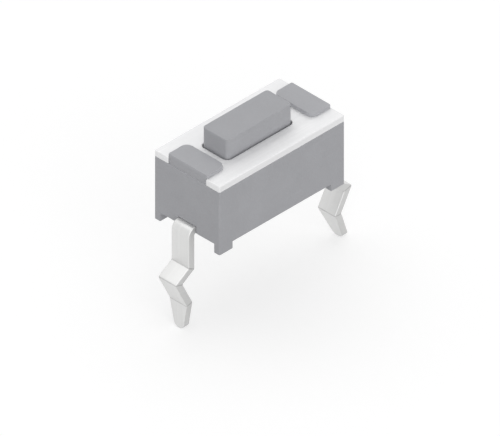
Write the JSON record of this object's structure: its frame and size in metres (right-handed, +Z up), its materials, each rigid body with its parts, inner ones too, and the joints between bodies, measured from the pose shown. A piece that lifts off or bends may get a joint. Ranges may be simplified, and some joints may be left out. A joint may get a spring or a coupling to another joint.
{
  "type": "tactile push button switch",
  "caption": "Small through-hole tactile push button with a moulded body, a flat metal cover, staked tabs, a rectangular key and kinked snap-in terminals.",
  "frame": {"origin": "middle of the body, in the plane of the board that the four feet stand on", "axes": "+X along the body's length towards the terminal that carries the dome's rim, +Y across the body, +Z up through the button"},
  "size_m": [0.0085, 0.0032, 0.0072],
  "materials": {
    "housing_plastic": "mid grey glass-filled moulding, fine spark-eroded texture",
    "key_plastic": "mid grey moulding, smooth matt",
    "cover_steel": "bright stainless sheet with a fine rolled grain",
    "dome_steel": "thin spring stainless sheet",
    "plated_lead": "satin silver plate over brass strip"
  },
  "bodies": {
    "switch_body": {"base_housing": "housing_plastic", "cover_plate": "cover_steel", "contact_dome": "dome_steel", "centre_terminal": "plated_lead", "rim_terminal": "plated_lead"},
    "button": {"plunger": "key_plastic"}
  },
  "joints": [
    {"name": "plunger_press", "type": "slide", "parent": "switch_body", "child": "button", "axis": [0, 0, -1], "range_m": [0, 0.00025], "stiffness_N_per_m": 6400, "deforming": ["contact_dome"]}
  ]
}
